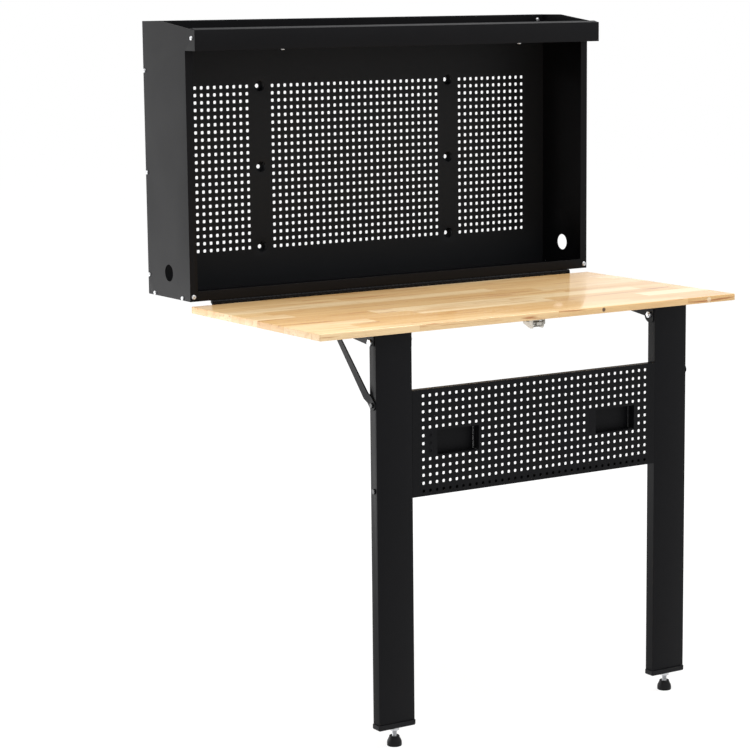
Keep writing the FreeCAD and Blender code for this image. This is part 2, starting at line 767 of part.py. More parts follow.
def make_pocket(left):
    """A folded box behind one opening, with a flange spot-welded to the apron."""
    y = (leg_front + sheet, leg_front + sheet + pocket_depth)
    top = apron_top - pocket_drop
    bottom = top - pocket_height
    right = left + pocket_width
    shell = box((left - sheet, right + sheet), y, (bottom - sheet, top + sheet))
    shell = shell.cut(box((left, right), (y[0], y[1] - sheet), (bottom, top)))
    flange = box((left - pocket_flange, left - sheet), (y[0], y[0] + sheet), (bottom, top))
    return union([shell, flange])


def nut(width, height, radius, start, way):
    """A hexagon nut on a round thread."""
    body = prism(6, width, start, way * height)
    return body.cut(faceted_hole(radius, start, start + way * height))


def make_pivot_bolt():
    outside = ear_outer + bracket_sheet
    inside = ear_inner - bracket_sheet - pivot_nut_height - thread_end
    head = prism(6, pivot_head_width, V(outside, pivot_y, pivot_z), X_AXIS * pivot_head_height)
    return union([head, rod(pivot_bolt_radius, V(inside, pivot_y, pivot_z), V(outside, pivot_y, pivot_z))])


def make_side_bolt(outside, z):
    """A button-head bolt through the leg and the apron's return."""
    inside = apron_inner - side_nut_height
    ends = [V(x, side_bolt_y, z) for x in (inside, outside, outside + button_head_height)]
    return union([faceted(button_head_radius, ends[1], ends[2]), faceted(side_bolt_radius, ends[0], ends[1])])


def make_brace():
    """The right brace: a tapered bar, joggled outward, with an open hook at its upper end."""
    along = V(0, math.sin(lean), math.cos(lean))
    across = V(0, -math.cos(lean), math.sin(lean))
    start = V(brace_x, side_bolt_y, brace_pivot_z)
    end = start + along * brace_length
    depth = brace_joggle + brace_sheet
    through = X_AXIS * depth
    corners = [start - across * brace_end_radius, end - across * (brace_neck / 2),
               end + across * (brace_neck / 2), start + across * brace_end_radius]
    bar = Part.Face(Part.makePolygon(corners + corners[:1])).extrude(through)
    blank = union([bar, rod(brace_end_radius, start, start + through), rod(hook_radius, end, end + through)])
    low = -2 * brace_end_radius
    bend = brace_joggle_start + brace_joggle_run
    high = brace_length + 2 * hook_radius
    section = [(low, 0), (brace_joggle_start, 0), (bend, brace_joggle), (high, brace_joggle), (high, depth),
               (bend, depth), (brace_joggle_start, brace_sheet), (low, brace_sheet)]
    points = [start + along * s + X_AXIS * x - across * (2 * brace_end_radius) for s, x in section]
    strip = Part.Face(Part.makePolygon(points + points[:1])).extrude(across * (4 * brace_end_radius))
    pivot = rod(side_bolt_radius + running_gap, start, start + through)
    mouth = math.radians(hook_mouth_angle)
    way = along * math.cos(mouth) + across * math.sin(mouth)
    side = way.cross(X_AXIS)
    reach = stud_radius + hook_play
    slot = [end + side * reach, end - side * reach, end - side * reach + way * (2 * hook_radius),
            end + side * reach + way * (2 * hook_radius)]
    slot = Part.Face(Part.makePolygon(slot + slot[:1])).extrude(through)
    seat = rod(reach, end, end + through)
    return blank.common(strip).cut([pivot, slot, seat])


def make_foot_stem():
    return rod(stem_radius, V(foot_x, foot_y, floor_z + pad_height - stem_socket),
               V(foot_x, foot_y, leg_end + cap_plug + stem_spare))


def make_foot_pad():
    """A round pad with a waist, moulded on the stem."""
    shoulder = V(foot_x + pad_radius, foot_y, floor_z + pad_rim)
    neck = V(foot_x + pad_neck_radius, foot_y, floor_z + pad_height)
    waist = V(foot_x + pad_neck_radius + pad_waist, foot_y, floor_z + pad_waist_height)
    low = V(foot_x, foot_y, floor_z)
    high = V(foot_x, foot_y, floor_z + pad_height)
    edge = V(foot_x + pad_radius, foot_y, floor_z)
    pad = Part.Face(Part.makePolygon([low, edge, shoulder, waist, neck, high, low])).revolve(low, Z_AXIS, 360)
    return pad.cut(rod(stem_radius, V(foot_x, foot_y, floor_z + pad_height - stem_socket), high))


leg = make_leg()
leg_cap = make_leg_cap()
brace = make_brace()
stem = make_foot_stem()
pad = make_foot_pad()
pivot_bolt = make_pivot_bolt()
brace_bolt = make_side_bolt(brace_x + brace_sheet, brace_pivot_z)
lower_bolt = make_side_bolt(leg_outer, lower_bolt_z)
pivot_nut = nut(pivot_nut_width, pivot_nut_height, pivot_bolt_radius,
                V(ear_inner - bracket_sheet, pivot_y, pivot_z), -X_AXIS)
side_nuts = [nut(side_nut_width, side_nut_height, side_bolt_radius, V(apron_inner, side_bolt_y, z), -X_AXIS)
             for z in side_bolts_z]
lock_nut = nut(lock_nut_width, lock_nut_height, stem_radius + running_gap,
               V(foot_x, foot_y, cap_bottom), -Z_AXIS)

save("leg_right", leg)
save("leg_left", mirrored(leg))
save("leg_cap_right", leg_cap)
save("leg_cap_left", mirrored(leg_cap))
save("apron_panel", make_apron())
save("apron_pocket_left", make_pocket(pocket_lefts[0]))
save("apron_pocket_right", make_pocket(pocket_lefts[1]))
save("pivot_bolts", both_sides([pivot_bolt]))
save("pivot_nuts", both_sides([pivot_nut]))
save("brace_bolts", both_sides([brace_bolt]))
save("apron_bolts", both_sides([lower_bolt]))
save("side_bolt_nuts", both_sides(side_nuts))
save("brace_right", brace)
save("brace_left", mirrored(brace))
save("lock_nuts", both_sides([lock_nut]))
save("foot_stem_right", stem)
save("foot_stem_left", mirrored(stem))
save("foot_pad_right", pad)
save("foot_pad_left", mirrored(pad))
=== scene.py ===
# %% [markdown]
# # A wall mounted folding workbench
#
# The object is a black sheet-steel tool cabinet for a workshop wall. Its wooden front folds down on a long
# hinge and becomes a bench top, which stands on two sheet-steel legs with a perforated apron between them.
#
# The shapes that move and carry load come from the CAD model. This script loads them, and gives each one the
# surface that the real piece has. Where a piece has more detail than the CAD model keeps, such as the many
# small square holes, a new piece is modelled here and takes the CAD piece's place.

# %% Load the CAD model
import math

import bmesh
import bpy
from mathutils import Matrix, Vector


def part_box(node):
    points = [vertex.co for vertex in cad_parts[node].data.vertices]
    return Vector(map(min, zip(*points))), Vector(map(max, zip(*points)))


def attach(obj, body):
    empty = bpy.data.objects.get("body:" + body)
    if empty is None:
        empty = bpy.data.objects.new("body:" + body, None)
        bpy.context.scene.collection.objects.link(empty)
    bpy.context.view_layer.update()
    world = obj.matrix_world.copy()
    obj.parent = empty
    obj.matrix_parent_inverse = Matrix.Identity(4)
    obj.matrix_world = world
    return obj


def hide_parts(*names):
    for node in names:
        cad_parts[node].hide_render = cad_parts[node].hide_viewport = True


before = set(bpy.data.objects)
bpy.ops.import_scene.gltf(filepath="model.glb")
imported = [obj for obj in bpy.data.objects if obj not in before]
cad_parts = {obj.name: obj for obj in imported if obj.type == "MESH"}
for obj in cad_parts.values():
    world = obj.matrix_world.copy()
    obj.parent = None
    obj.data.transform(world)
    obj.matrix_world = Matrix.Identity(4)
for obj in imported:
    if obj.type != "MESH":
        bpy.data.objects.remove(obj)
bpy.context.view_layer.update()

# %% [markdown]
# ## Camera and light
#
# The bench is seen from its left front corner, from a little above its top, with a long lens, so that its
# upright edges stay almost parallel. A camera can be aimed with angles, or with the directions of its own
# axes. The axes are used here, because they are what a fit to known points of the bench gives.

# %% Camera
scene = bpy.context.scene
CAMERA_PLACE = Vector((-2.8835, -4.6115, 0.3739))
CAMERA_RIGHT = Vector((0.8424, -0.5388, -0.0106))
CAMERA_UP = Vector((0.0932, 0.1263, 0.9876))

camera = bpy.data.objects.new("camera", bpy.data.cameras.new("camera"))
scene.collection.objects.link(camera)
camera.data.lens = 115.72
camera.data.sensor_width = 36.0
camera.data.clip_end = 60.0
right = CAMERA_RIGHT.normalized()
back = right.cross(CAMERA_UP).normalized()
turn = Matrix((right, back.cross(right), back)).transposed()
camera.matrix_world = Matrix.Translation(CAMERA_PLACE) @ turn.to_4x4()
scene.camera = camera

# %% [markdown]
# The light is that of a white studio. Within a bright surround there is a large soft lamp high in front, and
# a smaller one high on the right that draws a line along the upper folds. Two more at the left pick out the
# sides of the cabinet and of the legs, and a weak one fills in from the front. Black powder coat gives back
# hardly any light of its own, so what the eye reads on it is the bright surround in its sheen. The surround
# is white for what the camera sees and for what shines, and weaker as a light, so that the black stays black.

# %% Colours, nodes and lamps
def srgb(code):
    """A hex colour as the linear numbers that Blender wants."""
    parts = [int(code[i:i + 2], 16) / 255 for i in (1, 3, 5)]
    return tuple(p / 12.92 if p <= 0.04045 else ((p + 0.055) / 1.055) ** 2.4 for p in parts) + (1.0,)


def add_node(tree, kind, settings=None, **inputs):
    """A node with its settings. A value for an input is a number, a colour or another node's output."""
    node = tree.nodes.new(kind)
    for name, value in (settings or {}).items():
        setattr(node, name, value)
    for name, value in inputs.items():
        key = int(name[1:]) if name[0] == "_" else name.replace("_", " ")
        if isinstance(value, bpy.types.NodeSocket):
            tree.links.new(value, node.inputs[key])
        else:
            node.inputs[key].default_value = value
    return node


def lamp(name, place, aim, size, watts):
    """A square soft lamp at place that points at aim."""
    light = bpy.data.lights.new(name, "AREA")
    light.size = size
    light.energy = watts
    holder = bpy.data.objects.new(name, light)
    scene.collection.objects.link(holder)
    holder.visible_camera = False
    holder.location = place
    holder.rotation_euler = (Vector(aim) - Vector(place)).to_track_quat("-Z", "Y").to_euler()


def seen_or_mirrored(tree):
    """1 for a ray from the camera, from a shiny surface or through a clear one, and 0 for all others."""
    path = add_node(tree, "ShaderNodeLightPath")
    direct = add_node(tree, "ShaderNodeMath", {"operation": "MAXIMUM"}, _0=path.outputs["Is Camera Ray"],
                      _1=path.outputs["Is Glossy Ray"])
    return add_node(tree, "ShaderNodeMath", {"operation": "MAXIMUM"}, _0=direct.outputs[0],
                    _1=path.outputs["Is Transmission Ray"]).outputs[0]


SURROUND_AS_LIGHT, SURROUND_SEEN = 0.66, 1.0
world = bpy.data.worlds.new("studio")
scene.world = world
world.use_nodes = True
tree = world.node_tree
tree.nodes.clear()
strength = add_node(tree, "ShaderNodeMapRange", _0=seen_or_mirrored(tree), _3=SURROUND_AS_LIGHT,
                    _4=SURROUND_SEEN)
sky = add_node(tree, "ShaderNodeBackground", Color=srgb("#ffffff"), Strength=strength.outputs[0])
add_node(tree, "ShaderNodeOutputWorld", Surface=sky.outputs[0])

lamp("key", (-0.35, -1.1, 4.4), (0, -0.4, -0.3), 2.4, 202)
lamp("rim", (2.4, -0.6, 4.1), (0, -0.3, 0.1), 1.0, 95)
lamp("side", (-1.9, 1.6, -0.3), (-0.45, -0.5, -0.3), 1.7, 22)
lamp("low", (-1.05, 0.35, -0.8), (-0.4, -0.65, -0.75), 0.75, 6.2)
lamp("fill", (0.9, -3.8, 2.6), (0, -0.4, -0.4), 3.0, 9)
scene.view_settings.view_transform = "Standard"

# %% [markdown]
# ## Tools for the modelling
#
# Blender's operators act on what is selected. These helpers select one object, or faces and edges by their
# place, and hand a finished piece over to its body, its finish and the CAD piece that it stands for.

# %% Selection helpers
MM = 0.001
NEAR = 0.1 * MM
SAME_PLACE = 0.01 * MM


def select_only(piece):
    """Object mode, with piece the one selected object."""
    if bpy.context.object and bpy.context.object.mode != "OBJECT":
        bpy.ops.object.mode_set(mode="OBJECT")
    bpy.ops.object.select_all(action="DESELECT")
    if piece:
        piece.select_set(True)
        bpy.context.view_layer.objects.active = piece


def edit(piece, kind="FACE"):
    """Edit mode on one piece, with nothing selected."""
    select_only(piece)
    bpy.ops.object.mode_set(mode="EDIT")
    bpy.ops.mesh.select_mode(type=kind)
    bpy.ops.mesh.select_all(action="DESELECT")


def pick(piece, kind, test):
    """Selects the verts, edges or faces that pass the test. Gives how many there are."""
    edit(piece, {"verts": "VERT", "edges": "EDGE", "faces": "FACE"}[kind])
    mesh = bmesh.from_edit_mesh(piece.data)
    count = 0
    for element in getattr(mesh, kind):
        if test(element):
            element.select = True
            count += 1
    mesh.select_flush_mode()
    bmesh.update_edit_mesh(piece.data)
    return count


def centre(element):
    """The middle of an edge or face."""
    points = [v.co for v in element.verts]
    return sum(points, Vector()) / len(points)


def apply_modifier(piece, kind, **settings):
    """Adds a modifier with its settings and applies it."""
    select_only(piece)
    bpy.ops.object.modifier_add(type=kind)
    modifier = piece.modifiers[-1]
    for name, value in settings.items():
        setattr(modifier, name, value)
    bpy.ops.object.modifier_apply(modifier=modifier.name)


def block(name, low, high):
    """A cube between two corners."""
    select_only(None)
    bpy.ops.mesh.primitive_cube_add(size=1, location=(Vector(low) + Vector(high)) / 2)
    made = bpy.context.object
    made.name = name
    made.scale = Vector(high) - Vector(low)
    bpy.ops.object.transform_apply(location=True, rotation=True, scale=True)
    return made


def cut_away(piece, low, high):
    """Cuts the box between two corners out of a piece."""
    cutter = block("cutter", low, high)
    apply_modifier(piece, "BOOLEAN", operation="DIFFERENCE", object=cutter, solver="EXACT")
    bpy.data.objects.remove(cutter)


def joined(first, *others):
    """Several pieces as one object."""
    select_only(first)
    for other in others:
        other.select_set(True)
    bpy.ops.object.join()
    return first


def hand_over(piece, body, finish, slot, *nodes):
    """Gives a finished piece its material and its body, and hides the CAD nodes that it stands for. slot is
    not used.
    """
    select_only(piece)
    bpy.ops.object.transform_apply(location=True, rotation=True, scale=True)
    bpy.ops.object.shade_smooth_by_angle(angle=math.radians(32))
    piece.data.materials.clear()
    piece.data.materials.append(finish)
    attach(piece, body)
    if nodes:
        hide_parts(*nodes)
    piece.data.calc_loop_triangles()
    print(f"{piece.name}: {len(piece.data.loop_triangles)} triangles, rides on {body}")


# %% [markdown]
# ## Finishes
#
# ** Powder coat** is a plastic powder that is melted onto steel. It is a thin skin with a soft sheen and a
# very fine orange-peel surface, with ripples 1 to 2 mm apart. The back panel has the same coat, but its
# colour is painted a little paler than the rest: painted light for the light that falls into the cabinet.

# %% Black powder coat
def new_finish(name):
    """A material with an empty node tree, its Object coordinates and its output."""
    finish = bpy.data.materials.new(name)
    finish.use_nodes = True
    nodes = finish.node_tree
    nodes.nodes.clear()
    place = add_node(nodes, "ShaderNodeTexCoord").outputs["Object"]
    return finish, nodes, place, add_node(nodes, "ShaderNodeOutputMaterial")


def ramp(tree, value, low, high, start=0.0, end=1.0):
    """Goes from low to high while value goes from start to end, and stays there."""
    return add_node(tree, "ShaderNodeMapRange", _0=value, _1=start, _2=end, _3=low, _4=high).outputs[0]


def blend(tree, share, under, over):
    """A mix of two colours. share is how much of the second one shows, from 0 to 1."""
    return add_node(tree, "ShaderNodeMix", {"data_type": "RGBA"}, Factor=share, _6=under, _7=over).outputs[2]


def powder(name, dark, light):
    """Powder coat between two tones of black."""
    finish, tree, place, out = new_finish(name)
    ripple = add_node(tree, "ShaderNodeTexNoise", Vector=place, Scale=700.0, Detail=2.0, Roughness=0.5)
    dust = add_node(tree, "ShaderNodeTexNoise", Vector=place, Scale=9.0, Detail=4.0, Roughness=0.6)
    tint = blend(tree, dust.outputs[0], srgb(dark), srgb(light))
    gloss = ramp(tree, dust.outputs[0], 0.40, 0.52)
    bumps = add_node(tree, "ShaderNodeBump", Strength=0.12, Distance=0.0003, Height=ripple.outputs[0])
    skin = add_node(tree, "ShaderNodeBsdfPrincipled", Base_Color=tint, Roughness=gloss,
                    Normal=bumps.outputs[0], Specular_IOR_Level=0.085)
    tree.links.new(skin.outputs[0], out.inputs[0])
    return finish


powder_coat = powder("black_powder_coat", "#0c0c0e", "#101012")
# The back panel's paler tones are painted light: the light that falls into the cabinet, put into its colour.
painted_light_back_coat = powder("black_powder_coat_back_painted_light", "#1b1c1e", "#1f2022")

# %% [markdown]
# **Zinc plating** is a thin bright metal film on the screws, bolts and the latch. It is not polished, so its
# reflections are soft, and small changes in the film make it cloudy.

# %% Zinc plated steel
zinc, tree, place, out = new_finish("zinc_plated_steel")
cloud = add_node(tree, "ShaderNodeTexNoise", Vector=place, Scale=260.0, Detail=3.0, Roughness=0.6)
tint = blend(tree, cloud.outputs[0], srgb("#babbbd"), srgb("#d4d5d7"))
gloss = ramp(tree, cloud.outputs[0], 0.42, 0.56)
grain = add_node(tree, "ShaderNodeBump", Strength=0.08, Distance=0.0002, Height=cloud.outputs[0])
skin = add_node(tree, "ShaderNodeBsdfPrincipled", Base_Color=tint, Metallic=1.0, Roughness=gloss,
                Normal=grain.outputs[0])
tree.links.new(skin.outputs[0], out.inputs[0])

# %% [markdown]
# The latch is zinc plated too, but tumbled before plating, so that it is matt and a little warmer.

# %% Matt zinc
matt_zinc, tree, place, out = new_finish("matt_zinc_plated_steel")
cloud = add_node(tree, "ShaderNodeTexNoise", Vector=place, Scale=260.0, Detail=3.0, Roughness=0.6)
tint = blend(tree, cloud.outputs[0], srgb("#aaa69e"), srgb("#bcb8b0"))
grain = add_node(tree, "ShaderNodeBump", Strength=0.08, Distance=0.0002, Height=cloud.outputs[0])
skin = add_node(tree, "ShaderNodeBsdfPrincipled", Base_Color=tint, Metallic=0.5, Roughness=0.6,
                Normal=grain.outputs[0], Specular_IOR_Level=0.4)
tree.links.new(skin.outputs[0], out.inputs[0])

# %% [markdown]
# **Black oxide** on the side bolts is a chemical finish with an oily sheen. **Moulded polyamide** is the
# black plastic of the leg caps, the feet and the latch's grip. Its mould was spark-eroded, which leaves a
# grain of about half a millimetre.

# %% Black oxide and moulded plastic
black_oxide, tree, place, out = new_finish("black_oxide_steel")
cloud = add_node(tree, "ShaderNodeTexNoise", Vector=place, Scale=300.0, Detail=2.0)
gloss = ramp(tree, cloud.outputs[0], 0.30, 0.45)
skin = add_node(tree, "ShaderNodeBsdfPrincipled", Base_Color=srgb("#161618"), Metallic=0.35, Roughness=gloss,
                Specular_IOR_Level=0.4)
tree.links.new(skin.outputs[0], out.inputs[0])

moulded, tree, place, out = new_finish("moulded_polyamide")
spark = add_node(tree, "ShaderNodeTexNoise", Vector=place, Scale=1500.0, Detail=3.0, Roughness=0.7)
grain = add_node(tree, "ShaderNodeBump", Strength=0.25, Distance=0.0002, Height=spark.outputs[0])
skin = add_node(tree, "ShaderNodeBsdfPrincipled", Base_Color=srgb("#101012"), Roughness=0.5,
                Normal=grain.outputs[0], Specular_IOR_Level=0.14)
tree.links.new(skin.outputs[0], out.inputs[0])

# %% [markdown]
# **Rubberwood** is the pale wood of the board. It is sawn into staves about 50 mm wide, glued end to end and
# side by side, sanded, and lacquered. The edges soak up the lacquer, so they are duller, and the end grain is
# darker. Each stave has its own tone, its grain runs along it, and here and there a brown mineral streak
# follows the grain. The pattern is made in four steps: which stave a point is in, the stave's tone, the grain
# in it, and the streaks.

# %% Rubberwood board: which stave
STAVE_WIDTH = 0.052
STAVE_LENGTH = 0.34
rubberwood, tree, place, out = new_finish("lacquered_rubberwood")


def math_node(operation, a, b=0.0):
    """The result of one operation on the values a and b."""
    return add_node(tree, "ShaderNodeMath", {"operation": operation}, _0=a, _1=b).outputs[0]


axes = add_node(tree, "ShaderNodeSeparateXYZ", Vector=place)
along, across = axes.outputs[0], axes.outputs[1]
row = math_node("FLOOR", math_node("DIVIDE", across, STAVE_WIDTH))
shift = add_node(tree, "ShaderNodeTexWhiteNoise", {"noise_dimensions": "1D"}, W=row).outputs[0]
place_in_row = math_node("ADD", math_node("DIVIDE", along, STAVE_LENGTH), math_node("MULTIPLY", shift, 7.0))
number = math_node("FLOOR", place_in_row)
stave = add_node(tree, "ShaderNodeCombineXYZ", X=number, Y=row, Z=0.0)
tone = add_node(tree, "ShaderNodeTexWhiteNoise", {"noise_dimensions": "2D"}, Vector=stave.outputs[0])

# %% Rubberwood board: tone, grain and streaks
own_grain = add_node(tree, "ShaderNodeVectorMath", {"operation": "SCALE"}, _0=tone.outputs[1], Scale=3.0)
point = add_node(tree, "ShaderNodeVectorMath", {"operation": "ADD"}, _0=place, _1=own_grain.outputs[0])
fibre_scale = add_node(tree, "ShaderNodeMapping", Vector=point.outputs[0], Scale=(6.0, 260.0, 260.0))
fibre = add_node(tree, "ShaderNodeTexNoise", Vector=fibre_scale.outputs[0], Scale=1.0, Detail=5.0,
                 Roughness=0.65)
figure_scale = add_node(tree, "ShaderNodeMapping", Vector=point.outputs[0], Scale=(2.2, 26.0, 26.0))
figure = add_node(tree, "ShaderNodeTexNoise", Vector=figure_scale.outputs[0], Scale=1.0, Detail=3.0,
                  Distortion=1.2)
streak_scale = add_node(tree, "ShaderNodeMapping", Vector=point.outputs[0], Scale=(5.0, 95.0, 95.0))
streak = add_node(tree, "ShaderNodeTexNoise", Vector=streak_scale.outputs[0], Scale=1.0, Detail=2.0,
                  Distortion=0.6)
stave_tone = add_node(tree, "ShaderNodeValToRGB", Fac=tone.outputs[0])
stave_tone.color_ramp.elements[0].color = srgb("#d3aa70")
stave_tone.color_ramp.elements[1].color = srgb("#efd6aa")
middle = stave_tone.color_ramp.elements.new(0.55)
middle.color = srgb("#e2be88")
figured = blend(tree, ramp(tree, figure.outputs[0], 0.0, 0.55, start=0.46, end=0.72),
                stave_tone.outputs[0], srgb("#c28e50"))
fibred = blend(tree, ramp(tree, fibre.outputs[0], 0.0, 0.5, start=0.5, end=0.85), figured, srgb("#b98450"))
streaked = blend(tree, ramp(tree, streak.outputs[0], 0.0, 0.85, start=0.63, end=0.71), fibred,
                 srgb("#a5602c"))

# %% Rubberwood board: glue lines, a knot, a plug and the lacquer
KNOT_PLACE, PLUG_PLACE = (0.165, -0.7085, -0.2765), (0.447, -0.7085, -0.277)


def spot(under, colour, middle, core, reach, most):
    """A round spot of one colour that fades out from its core to its reach."""
    away = add_node(tree, "ShaderNodeVectorMath", {"operation": "DISTANCE"}, _0=place, _1=middle).outputs[1]
    return blend(tree, ramp(tree, away, most, 0.0, start=core, end=reach), under, srgb(colour))


side_gap = math_node("PINGPONG", math_node("DIVIDE", across, STAVE_WIDTH), 0.5)
side_line = math_node("LESS_THAN", side_gap, 0.008)
end_gap = math_node("PINGPONG", place_in_row, 0.5)
end_line = math_node("LESS_THAN", end_gap, 0.0012)
line = math_node("MULTIPLY", math_node("MAXIMUM", side_line, end_line), 0.30)
glued = blend(tree, line, streaked, srgb("#9a6a38"))
knotted = spot(glued, "#4a3322", KNOT_PLACE, core=3.0 * MM, reach=5.4 * MM, most=1.0)
plugged = spot(knotted, "#f3e2c4", PLUG_PLACE, core=4.0 * MM, reach=6.2 * MM, most=0.6)

normal = add_node(tree, "ShaderNodeTexCoord").outputs["Normal"]
facing = add_node(tree, "ShaderNodeSeparateXYZ", Vector=normal)
sideward, upward = (math_node("ABSOLUTE", facing.outputs[axis]) for axis in (0, 2))
lacquer = ramp(tree, upward, 0.08, 0.55, start=0.5, end=0.9)
end_grain = ramp(tree, sideward, 0.06, 0.26, start=0.5, end=0.9)
edge_share = math_node("MULTIPLY", math_node("LESS_THAN", upward, 0.7), end_grain)
toned = blend(tree, edge_share, plugged, srgb("#b07c42"))
height = add_node(tree, "ShaderNodeBump", Strength=0.12, Distance=0.0002, Height=fibre.outputs[0])
skin = add_node(tree, "ShaderNodeBsdfPrincipled", Base_Color=toned, Roughness=0.5, Normal=height.outputs[0],
                Coat_Weight=lacquer, Coat_Roughness=0.13)
tree.links.new(skin.outputs[0], out.inputs[0])

# %% [markdown]
# ## The perforated back panel
#
# The back of the cabinet is one sheet of steel, punched with 7 mm square holes that are 16 mm apart and have
# cut corners, and folded back around its rim. Hooks for tools go into the holes. A boolean could cut them
# all, but a grid of 16 mm cells gives a cleaner mesh: each cell that has a hole is inset, its corners are
# cut, and the middle is deleted. Then the sheet gets its thickness.

# %% Perforated sheet
PITCH = 16 * MM
HOLE_CORNER = 1.3 * MM


def perforated_sheet(name, columns, rows, left, top, y, hole, punched):
    """An upright grid of cells. punched(column, row) says which cells have a hole, from the upper left."""
    select_only(None)
    middle = (left + columns * PITCH / 2, y, top - rows * PITCH / 2)
    bpy.ops.mesh.primitive_grid_add(x_subdivisions=columns, y_subdivisions=rows, size=1, location=middle,
                                    rotation=(math.pi / 2, 0, 0))
    sheet = bpy.context.object
    sheet.name = name
    sheet.scale = (columns * PITCH, rows * PITCH, 1)
    bpy.ops.object.transform_apply(location=True, rotation=True, scale=True)

    def is_hole(face):
        c = centre(face)
        column, row = (c.x - left) / PITCH - 0.5, (top - c.z) / PITCH - 0.5
        near = abs(column - round(column)) < 0.02 and abs(row - round(row)) < 0.02
        return near and punched(round(column), round(row))

    holes = pick(sheet, "faces", is_hole)
    bpy.ops.mesh.inset(thickness=(PITCH - hole) / 2, use_individual=True)
    bpy.ops.mesh.bevel(offset=HOLE_CORNER, affect="VERTICES")
    removed = pick(sheet, "faces", is_hole)
    bpy.ops.mesh.delete(type="FACE")
    print(f"{name}: {holes} holes, {removed} removed")
    return sheet


# %% Back panel: the punched fields
PANEL_COLUMNS, PANEL_ROWS = 64, 35
PANEL_LEFT, PANEL_TOP = -32 * PITCH, 312 * MM
PANEL_Y = -20 * MM
PANEL_HOLE = 7 * MM
FIELD_COLUMNS = set(range(3, 15)) | set(range(18, 46)) | set(range(49, 61))
FIELD_ROWS = range(8, 31)
panel = perforated_sheet("back_panel_punched", PANEL_COLUMNS, PANEL_ROWS, PANEL_LEFT, PANEL_TOP, PANEL_Y,
                         PANEL_HOLE, lambda i, j: i in FIELD_COLUMNS and j in FIELD_ROWS)

# %% [markdown]
# Six cups are pressed into the plain strips between the fields. A wall screw's head sits down in each, so
# that nothing stands out behind the tools. Each cup replaces a block of three by three cells: they become one
# face, its rim is divided into short edges, and an inset of it is drawn onto a circle. The circle is then
# extruded step by step down the cup's wall to the hole for the screw. The steps are pairs of a radius and a
# depth in millimetres.

# %% Back panel: cups
CUP_STEPS = ((12.4, 0.0), (11.7, 0.25), (11.25, 0.9), (10.9, 11.4), (10.0, 12.5), (4.5, 12.5))


def press_cup(sheet, x, z):
    """A cup for one wall screw, centred at x and z."""
    half = 1.5 * PITCH

    def inside(face):
        c = centre(face)
        return abs(c.x - x) < half and abs(c.z - z) < half

    def on_square(edge):
        c = centre(edge)
        across, up = abs(c.x - x), abs(c.z - z)
        return abs(max(across, up) - half) < NEAR and min(across, up) < half

    pick(sheet, "faces", inside)
    bpy.ops.mesh.dissolve_faces()
    pick(sheet, "edges", on_square)
    bpy.ops.mesh.subdivide(number_cuts=2)
    pick(sheet, "faces", inside)
    bpy.ops.mesh.inset(thickness=2 * MM)
    mesh = bmesh.from_edit_mesh(sheet.data)
    for vertex in mesh.verts:
        if vertex.select:
            way = Vector((vertex.co.x - x, 0, vertex.co.z - z)).normalized()
            vertex.co = Vector((x, PANEL_Y, z)) + way * CUP_STEPS[0][0] * MM
    bmesh.update_edit_mesh(sheet.data)
    for (radius, depth), (next_radius, next_depth) in zip(CUP_STEPS, CUP_STEPS[1:]):
        bpy.ops.mesh.extrude_region_move(
            TRANSFORM_OT_translate={"value": (0, (next_depth - depth) * MM, 0)})
        ratio = next_radius / radius
        bpy.ops.transform.resize(value=(ratio, 1, ratio), center_override=(x, PANEL_Y + next_depth * MM, z))
    bpy.ops.mesh.delete(type="FACE")


CUP_X, CUP_Z = 248 * MM, 176 * MM
for x in (-CUP_X, CUP_X):
    for z in (-CUP_Z, 0, CUP_Z):
        press_cup(panel, x, z)
bpy.ops.object.mode_set(mode="OBJECT")
print("back panel with cups:", len(panel.data.polygons), "faces")

# %% Back panel: rim and thickness
SHEET = 1.2 * MM
panel_low, panel_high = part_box("back_panel")
for axis, edge_place, target in ((0, PANEL_LEFT, panel_low.x), (0, -PANEL_LEFT, panel_high.x),
                                 (2, PANEL_TOP, panel_high.z),
                                 (2, PANEL_TOP - PANEL_ROWS * PITCH, panel_low.z)):
    pick(panel, "verts", lambda v: abs(v.co[axis] - edge_place) < NEAR)
    move = [0, 0, 0]
    move[axis] = target - edge_place
    bpy.ops.transform.translate(value=move)


def on_rim(edge):
    """On the outer boundary of the sheet, not on that of a hole."""
    c = centre(edge)
    gaps = (c.x - panel_low.x, c.x - panel_high.x, c.z - panel_low.z, c.z - panel_high.z)
    return edge.is_boundary and min(map(abs, gaps)) < NEAR


pick(panel, "edges", on_rim)
bpy.ops.mesh.extrude_region_move(TRANSFORM_OT_translate={"value": (0, -PANEL_Y, 0)})
apply_modifier(panel, "SOLIDIFY", thickness=SHEET, offset=-1, use_even_offset=True)
hand_over(panel, "cabinet", painted_light_back_coat, "powder_black", "back_panel")

# %% [markdown]
# ## Sheet-metal pieces from the CAD model
#
# Real sheet metal has no sharp edge. Where it is folded, the outside has a radius a little over the sheet's
# thickness, which catches the light as a thin bright line. The cut rims are only deburred. So each folded
# piece is a copy of its CAD piece: its facets are joined, its folds get a bevel of their own, and then all
# other edges get a very small one. A fold is told from a rim by its faces: both are wider than the sheet is
# thick.

# %% Folded pieces
FOLD_RADIUS, LIP_FOLD_RADIUS = 1.6 * MM, 2.4 * MM
RIM_RADIUS = 0.22 * MM
WIDE = 4 * MM
FOLD_ANGLE = math.radians(40)


def copy_of(node, name):
    """A copy of a CAD piece, with doubled corners merged and flat facets joined."""
    piece = bpy.data.objects.new(name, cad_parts[node].data.copy())
    scene.collection.objects.link(piece)
    select_only(piece)
    if piece.data.has_custom_normals:
        bpy.ops.mesh.customdata_custom_splitnormals_clear()
    edit(piece)
    bpy.ops.mesh.select_all(action="SELECT")
    bpy.ops.mesh.remove_doubles(threshold=SAME_PLACE)
    bpy.ops.mesh.dissolve_limited(angle_limit=math.radians(0.5))
    return piece


